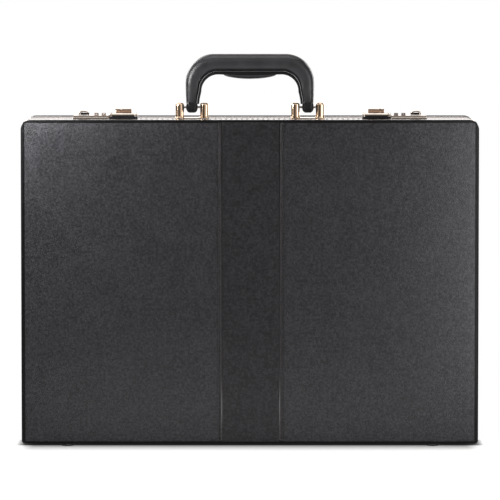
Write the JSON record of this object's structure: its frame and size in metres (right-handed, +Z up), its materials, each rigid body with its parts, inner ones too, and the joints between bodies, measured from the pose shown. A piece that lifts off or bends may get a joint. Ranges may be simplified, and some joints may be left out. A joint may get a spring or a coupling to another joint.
{
  "type": "attache case",
  "caption": "Hard-sided black leather attache case: two hinged half shells, swinging bow handle, combination locks with hasps, and lid stays.",
  "frame": {"origin": "middle of the closed case on the surface that its four feet stand on", "axes": "+X along the case's width, +Y from the base's face to the lid's face, +Z up from the hinge side to the handle side"},
  "size_m": [0.4594, 0.115, 0.3919],
  "materials": {
    "case_leather": "fine-grained satin black leather",
    "handle_leather": "smooth satin black leather",
    "pocket_leather": "smooth black leather",
    "lock_brass": "antique brass plate, polished",
    "edge_metal": "pale champagne metal, satin",
    "hinge_brass": "antique brass plate, satin",
    "pin_steel": "plain steel",
    "stay_steel": "nickel-plated steel",
    "black_plastic": "gloss black",
    "dial_plastic": null,
    "frame_wood": "bare plywood, inside the leather",
    "lining_cloth": "brushed black lining cloth"
  },
  "bodies": {
    "base": {"base_frame": "frame_wood", "base_wall_cover": "case_leather", "base_face_board": "frame_wood", "base_cover_left": "case_leather", "base_cover_right": "case_leather", "base_centre_strip": "case_leather", "base_valance": "edge_metal", "base_lining": "lining_cloth", "hinge_leaf_base": "hinge_brass", "hinge_pin": "pin_steel", "lock_plate_left": "lock_brass", "lock_tray_left": "black_plastic", "dial_shaft_left": "pin_steel", "hasp_plate_left": "black_plastic", "hasp_pin_left": "pin_steel", "handle_bracket_left": "lock_brass", "handle_pin_left": "pin_steel", "stay_rivet_left": "lock_brass", "base_foot_left": "black_plastic", "lock_plate_right": "lock_brass", "lock_tray_right": "black_plastic", "dial_shaft_right": "pin_steel", "hasp_plate_right": "black_plastic", "hasp_pin_right": "pin_steel", "handle_bracket_right": "lock_brass", "handle_pin_right": "pin_steel", "stay_rivet_right": "lock_brass", "base_foot_right": "black_plastic"},
    "lid": {"lid_frame": "frame_wood", "lid_wall_cover": "case_leather", "lid_face_board": "frame_wood", "lid_cover_left": "case_leather", "lid_cover_right": "case_leather", "lid_centre_strip": "case_leather", "lid_valance": "edge_metal", "lid_lining": "lining_cloth", "hinge_leaf_lid": "hinge_brass", "organiser": "pocket_leather", "striker_left": "lock_brass", "stay_stud_left": "lock_brass", "lid_foot_left": "black_plastic", "striker_right": "lock_brass", "stay_stud_right": "lock_brass", "lid_foot_right": "black_plastic"},
    "handle": {"handle_grip": "handle_leather", "handle_liner": "handle_leather", "handle_end_left": "black_plastic", "handle_end_right": "black_plastic"},
    "hasp_body_left": {"hasp_left": "lock_brass"},
    "button_body_left": {"slide_button_left": "lock_brass"},
    "stay_body_left": {"stay_left": "stay_steel"},
    "dial_body_left_1": {"dial_left_1": "dial_plastic"},
    "dial_body_left_2": {"dial_left_2": "dial_plastic"},
    "dial_body_left_3": {"dial_left_3": "dial_plastic"},
    "hasp_body_right": {"hasp_right": "lock_brass"},
    "button_body_right": {"slide_button_right": "lock_brass"},
    "stay_body_right": {"stay_right": "stay_steel"},
    "dial_body_right_1": {"dial_right_1": "dial_plastic"},
    "dial_body_right_2": {"dial_right_2": "dial_plastic"},
    "dial_body_right_3": {"dial_right_3": "dial_plastic"}
  },
  "joints": [
    {"name": "lid_hinge", "type": "hinge", "parent": "base", "child": "lid", "pos_m": [0, 0.0085, 0.0026], "axis": [-1, 0, 0], "range_deg": [0, 90]},
    {"name": "handle_pivot", "type": "hinge", "parent": "base", "child": "handle", "pos_m": [0, -0.0245, 0.3387], "axis": [1, 0, 0], "range_deg": [-82, 82]},
    {"name": "stay_pivot_left", "type": "hinge", "parent": "base", "child": "stay_body_left", "pos_m": [-0.2189, -0.01164, 0.02747], "axis": [-1, 0, 0], "range_deg": [0, 45]},
    {"name": "hasp_pivot_left", "type": "hinge", "parent": "base", "child": "hasp_body_left", "pos_m": [-0.12735, -0.013, 0.3306], "axis": [1, 0, 0], "range_deg": [0, 85]},
    {"name": "button_slide_left", "type": "slide", "parent": "base", "child": "button_body_left", "axis": [-1, 0, 0], "range_m": [0, 0.0045], "stiffness_N_per_m": 300, "springref_m": -0.001},
    {"name": "dial_turn_left_1", "type": "hinge", "parent": "base", "child": "dial_body_left_1", "pos_m": [-0.1401, -0.0026, 0.3272], "axis": [1, 0, 0], "continuous": true},
    {"name": "dial_turn_left_2", "type": "hinge", "parent": "base", "child": "dial_body_left_2", "pos_m": [-0.14745, -0.0026, 0.3272], "axis": [1, 0, 0], "continuous": true},
    {"name": "dial_turn_left_3", "type": "hinge", "parent": "base", "child": "dial_body_left_3", "pos_m": [-0.1548, -0.0026, 0.3272], "axis": [1, 0, 0], "continuous": true},
    {"name": "stay_pivot_right", "type": "hinge", "parent": "base", "child": "stay_body_right", "pos_m": [0.2189, -0.01164, 0.02747], "axis": [-1, 0, 0], "range_deg": [0, 45]},
    {"name": "hasp_pivot_right", "type": "hinge", "parent": "base", "child": "hasp_body_right", "pos_m": [0.12735, -0.013, 0.3306], "axis": [1, 0, 0], "range_deg": [0, 85]},
    {"name": "button_slide_right", "type": "slide", "parent": "base", "child": "button_body_right", "axis": [1, 0, 0], "range_m": [0, 0.0045], "stiffness_N_per_m": 300, "springref_m": -0.001},
    {"name": "dial_turn_right_1", "type": "hinge", "parent": "base", "child": "dial_body_right_1", "pos_m": [0.1401, -0.0026, 0.3272], "axis": [1, 0, 0], "continuous": true},
    {"name": "dial_turn_right_2", "type": "hinge", "parent": "base", "child": "dial_body_right_2", "pos_m": [0.14745, -0.0026, 0.3272], "axis": [1, 0, 0], "continuous": true},
    {"name": "dial_turn_right_3", "type": "hinge", "parent": "base", "child": "dial_body_right_3", "pos_m": [0.1548, -0.0026, 0.3272], "axis": [1, 0, 0], "continuous": true}
  ],
  "couplings": [
    {"joint": "stay_pivot_left", "follows": "lid_hinge", "ratio": 0.5},
    {"joint": "stay_pivot_right", "follows": "lid_hinge", "ratio": 0.5}
  ]
}
